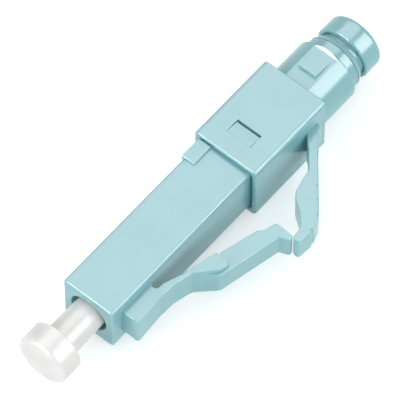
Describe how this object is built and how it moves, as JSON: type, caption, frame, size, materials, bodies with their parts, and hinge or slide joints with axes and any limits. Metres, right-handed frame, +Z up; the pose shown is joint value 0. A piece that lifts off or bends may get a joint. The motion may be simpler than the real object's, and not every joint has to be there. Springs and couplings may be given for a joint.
{
  "type": "lc fibre connector",
  "caption": "Field-fitted LC fibre connector: square plug with a flexing latch, anti-snag trigger on the rear sleeve, cable clamp nut and push-on dust cap over a sprung ferrule.",
  "frame": {"origin": "centre of the ferrule's polished tip, on the optical axis", "axes": "+X forward along the optical axis, the way the plug goes into its adapter; +Y towards the latch; +Z up, with the connector lying on a side of its rear housing"},
  "size_m": [0.0352, 0.011, 0.0056],
  "materials": {
    "aqua_plastic": "moulded, satin to glossy",
    "cap_plastic": "soft translucent white",
    "zirconia": "ground and polished ceramic",
    "silica": "bare glass fibre",
    "plated_brass": "nickel plated",
    "splice_plastic": "moulded, matte",
    "spring_steel": "bright wire and strip",
    "guide_plastic": "moulded, matte"
  },
  "bodies": {
    "housing": {"front_housing": "aqua_plastic", "rear_housing": "aqua_plastic", "tail_body": "aqua_plastic", "ferrule_spring": "spring_steel"},
    "latch": {"latch_arm": "aqua_plastic"},
    "trigger": {"trigger": "aqua_plastic"},
    "float": {"ferrule": "zirconia", "fibre_stub": "silica", "ferrule_flange": "plated_brass", "splice_base": "splice_plastic", "cover_plate_front": "splice_plastic", "cover_plate_rear": "splice_plastic", "splice_clip_front": "spring_steel", "splice_clip_rear": "spring_steel", "fibre_guide": "guide_plastic"},
    "cap": {"dust_cap": "cap_plastic"},
    "nut": {"clamp_nut": "aqua_plastic"}
  },
  "joints": [
    {"name": "trigger_press", "type": "hinge", "parent": "housing", "child": "trigger", "pos_m": [-0.0226, 0.00334, 0], "axis": [0, 0, -1], "range_deg": [0, 12], "stiffness_Nm_per_rad": 0.05},
    {"name": "latch_press", "type": "hinge", "parent": "housing", "child": "latch", "pos_m": [-0.00625, 0.00325, 0], "axis": [0, 0, 1], "range_deg": [0, 10.8]},
    {"name": "ferrule_float", "type": "slide", "parent": "housing", "child": "float", "axis": [-1, 0, 0], "range_m": [0, 0.0008], "stiffness_N_per_m": 1000, "springref_m": -0.005, "deforming": ["ferrule_spring"]},
    {"name": "cap_pull", "type": "slide", "parent": "float", "child": "cap", "axis": [1, 0, 0], "range_m": [0, 0.008]},
    {"name": "nut_turn", "type": "hinge", "parent": "housing", "child": "nut", "pos_m": [-0.0308, 0, 0], "axis": [1, 0, 0], "range_deg": [-144, 1080]}
  ],
  "couplings": [
    {"joint": "latch_press", "follows": "trigger_press", "ratio": 0.9}
  ]
}
